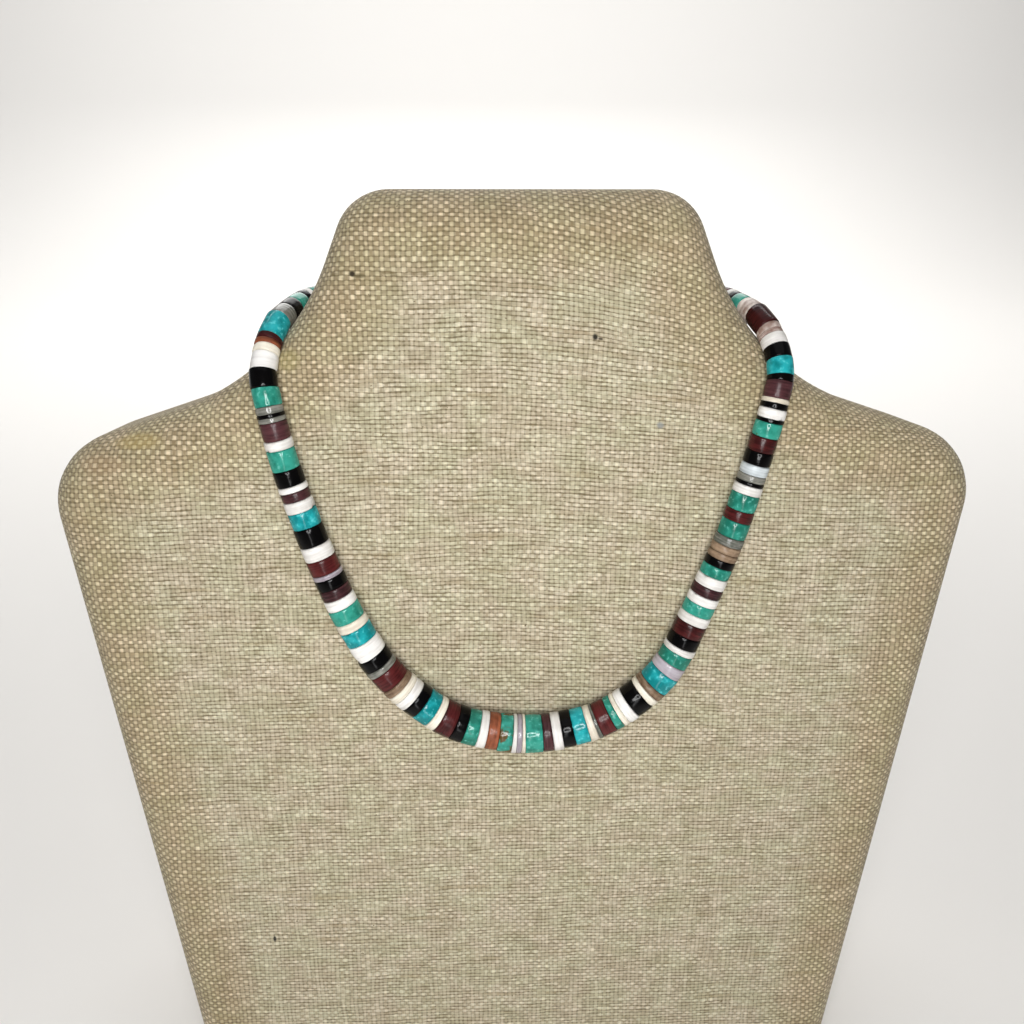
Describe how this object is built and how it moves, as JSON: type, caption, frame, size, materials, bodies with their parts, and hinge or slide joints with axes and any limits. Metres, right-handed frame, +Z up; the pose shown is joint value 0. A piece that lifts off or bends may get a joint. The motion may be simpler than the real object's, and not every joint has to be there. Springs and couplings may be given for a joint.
{
  "type": "beaded choker on neck bust",
  "caption": "Choker of graduated turquoise, jet and shell discs on a thread with a barrel clasp, held by a plain burlap-covered neck bust with a flat front and base.",
  "frame": {"origin": "centre of the bounding box at the level of the surface that the bust stands on", "axes": "+Z up, -Y the front that carries the choker, +X to the right as seen from the front"},
  "size_m": [0.2146, 0.078, 0.2388],
  "materials": {
    "burlap": "plain woven natural burlap, matt, with uneven threads",
    "green_turquoise": "polished, mottled",
    "blue_turquoise": "polished, mottled",
    "jet": "polished black",
    "red_brown_shell": "polished",
    "purple_shell": "polished",
    "white_shell": "smooth",
    "cream_shell": "smooth",
    "grey_pearl": "polished, pearly and slightly clear",
    "mauve_shell": "polished",
    "orange_shell": "polished",
    "beading_thread": "twisted, waxed",
    "clasp_metal": "satin silver colour"
  },
  "bodies": {
    "root": {"neck_bust": "burlap", "bead_string": "green_turquoise", "thread": "beading_thread", "clasp": "clasp_metal"}
  },
  "joints": []
}
